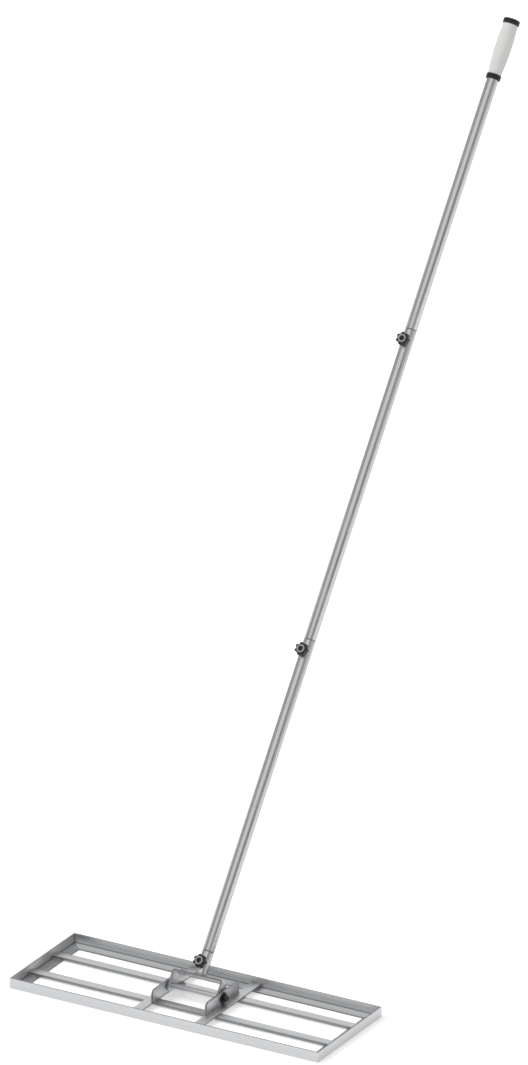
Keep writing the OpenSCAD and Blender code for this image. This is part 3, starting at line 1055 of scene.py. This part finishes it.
def gripRing(node, name, corner):  # two rounded lips with a groove between them
    low, high = span(node, handleWay, pivot)
    outer = span(node, sideWay, pivot)[1]
    bore = span("upper_tube", sideWay, pivot)[1] + grip["fit"]
    middle = (low + high) / 2
    half = grip["grooveHalf"]
    floor = outer - grip["groove"]
    profile = [(bore, low)] + arc((outer - corner, low + corner), corner, -90, 0, 8)
    lip = half * grip["lipShare"]
    side = floor + grip["grooveRound"]
    profile += arc((outer - lip, middle - half), lip, 0, 80, 3)
    profile += [(side, middle - half / 2), (floor, middle), (side, middle + half / 2)]
    profile += arc((outer - lip, middle + half), lip, -80, 0, 3)
    profile += arc((outer - corner, high - corner), corner, 0, 90, 8) + [(bore, high)]
    shape = bmesh.new()
    lathe(shape, profile, handleFrame, grip["around"], closed=True)
    placePiece(name, shape, "handle", ringBlack, [node])


def endCap():  # a plug with a shallow dome that closes the tube
    low, high = span("grip_end_cap", handleWay, pivot)
    outer = span("grip_end_cap", sideWay, pivot)[1]
    seat = span("upper_tube", handleWay, pivot)[1]
    plug = tubeRadius - grip["plugIn"]
    corner, edge = grip["plugEdge"], grip["capEdge"]
    profile = [(0, low), (plug - corner, low), (plug, low + corner), (plug, seat), (outer, seat)]
    profile += arc((outer - edge, high - grip["capDrop"]), edge, 0, 80, 4)
    profile += [(outer * share, high - drop) for share, drop in grip["crown"]] + [(0, high)]
    shape = bmesh.new()
    lathe(shape, profile, handleFrame, grip["capAround"])
    placePiece("end_cap_domed", shape, "handle", ringBlack, ["grip_end_cap"])


gripBarrel()
gripRing("grip_lower_ring", "lower_ring_lipped", grip["lowerCorner"])
gripRing("grip_upper_ring", "upper_ring_lipped", grip["upperCorner"])
endCap()
print("grip is moulded")


shot = {
    "azimuth": 30.16,
    "elevation": 23.43,
    "spanHigh": 2.1334,  # metres that the view takes in from bottom to top
    "aimRight": 0.1371,  # the aim, right of and above the origin as the camera sees it
    "aimUp": 0.9390,
    "lens": 800,  # very long, for a view almost free of perspective
    "sensor": 36,
    "clip": (1, 400),
}


def makeCamera():
    around, above = math.radians(shot["azimuth"]), math.radians(shot["elevation"])
    back = Vector((  # from the aim to the camera
        math.sin(around) * math.cos(above), -math.cos(around) * math.cos(above), math.sin(above)
    ))
    right = Vector((math.cos(around), math.sin(around), 0))
    up = back.cross(right)
    camera = bpy.data.objects.new("camera", bpy.data.cameras.new("camera"))
    scene.collection.objects.link(camera)
    camera.data.lens = shot["lens"]
    camera.data.sensor_width = shot["sensor"]
    distance = shot["spanHigh"] * shot["lens"] / shot["sensor"]
    middle = (Vector(cadBox[0]) + Vector(cadBox[1])) / 2
    aim = right * shot["aimRight"] + up * shot["aimUp"] + back * middle.dot(back)
    camera.matrix_world = axes(aim + back * distance, right, up, back)
    camera.data.clip_start, camera.data.clip_end = shot["clip"]
    scene.camera = camera


makeCamera()


studio = {
    "floorSize": 80,
    "floorColour": (0.80, 0.80, 0.80),
    "floorLift": 0.32,  # added to what the backdrop rays see, so that the lit floor is white
    "sinkDeep": 0.135,  # a tilted head hangs partly below the ground, so the floor sinks as it tilts
    "sinkTilt": 45,  # degrees of tilt, either way, at which the floor is all the way down
    "ambient": 0.55,
    "room": 0.26,  # how bright a gloss shows the dim room, against 1 for the backdrop
    "suns": [  # direction it shines from, spread in degrees, strength
        ((-0.75, -0.55, 1.0), 46, 1.50),
        ((0.95, -0.25, 0.75), 60, 0.45),
        ((0.10, 1.00, 0.70), 60, 0.40),
    ],
    "boxes": [  # soft panels that a gloss shows: middle, outer and inner limits as cosines, brightness
        ((-0.50, 0.85, 0.22), 0.72, 0.94, 1.05),
        ((0.02, -0.72, 0.69), 0.72, 0.92, 0.80),
        ((-0.90, -0.20, 0.30), 0.86, 0.96, 0.30),
        ((0.95, 0.20, 0.30), 0.84, 0.96, 0.40),
        ((0.0, 0.15, 1.0), 0.70, 0.96, 0.55),
    ],
}


def makeFloor():
    shape = bmesh.new()
    bmesh.ops.create_grid(shape, x_segments=1, y_segments=1, size=studio["floorSize"])
    mesh = bpy.data.meshes.new("floor")
    shape.to_mesh(mesh)
    shape.free()
    floor = bpy.data.objects.new("floor", mesh)
    scene.collection.objects.link(floor)
    finish = Finish("floorPaper")
    paper = finish.add("BsdfDiffuse", inputs={"Color": studio["floorColour"]})
    glow = finish.add("Emission", inputs={"Strength": studio["floorLift"]})
    white = finish.add("AddShader", inputs={0: paper, 1: glow})
    lit = finish.add("MixShader", inputs={0: finish.backdropRays(), 1: paper, 2: white})
    clear = finish.add("BsdfTransparent")
    below = finish.add("NewGeometry", out="Backfacing") * finish.add("LightPath", out="Is Camera Ray")
    surface = finish.add("MixShader", inputs={0: below, 1: lit, 2: clear})
    finish.feed(finish.tree.nodes["Material Output"].inputs["Surface"], surface)
    finish.tree.nodes.remove(finish.shader)
    mesh.materials.append(finish.material)
    tilt, deep = math.radians(studio["sinkTilt"]), -studio["sinkDeep"]
    for low, high, atLow, atHigh in ((-tilt, 0, deep, 0), (0, tilt, 0, deep)):
        sink = floor.constraints.new("TRANSFORM")
        sink.target = bpy.data.objects["front_rail_soft"]
        sink.map_from = "ROTATION"
        sink.map_to = "LOCATION"
        sink.map_to_z_from = "X"
        sink.from_min_x_rot, sink.from_max_x_rot = low, high
        sink.to_min_z, sink.to_max_z = atLow, atHigh


def makeLight():
    for number, (way, spread, strength) in enumerate(studio["suns"]):
        sun = bpy.data.objects.new(f"softbox{number}", bpy.data.lights.new(f"softbox{number}", "SUN"))
        sun.data.angle = math.radians(spread)
        sun.data.energy = strength
        sun.visible_glossy = False
        sun.rotation_euler = (-Vector(way)).to_track_quat("-Z", "Y").to_euler()
        scene.collection.objects.link(sun)
    scene.world = bpy.data.worlds.new("studio")
    scene.world.use_nodes = True
    wiring = Wiring(scene.world.node_tree)
    sky = wiring.add("TexCoord", out="Generated")
    room = studio["room"]
    for way, end, full, bright in studio["boxes"]:
        aim = Vector(way).normalized()[:]
        near = wiring.add("VectorMath", {"operation": "DOT_PRODUCT"}, {0: sky, 1: aim}, out="Value")
        room = near.ease(end, full, 0.0, bright) + room
    camera = wiring.add("LightPath", out="Is Camera Ray")
    backdrop = wiring.backdropRays()
    shown = camera.most(room.least(1.0))
    background = scene.world.node_tree.nodes["Background"]
    wiring.feed(background.inputs["Color"], (1.0, 1.0, 1.0))
    wiring.feed(background.inputs["Strength"], backdrop * shown + (1 - backdrop) * studio["ambient"])


makeFloor()
makeLight()
scene.view_settings.view_transform = "Standard"
print("studio is lit")
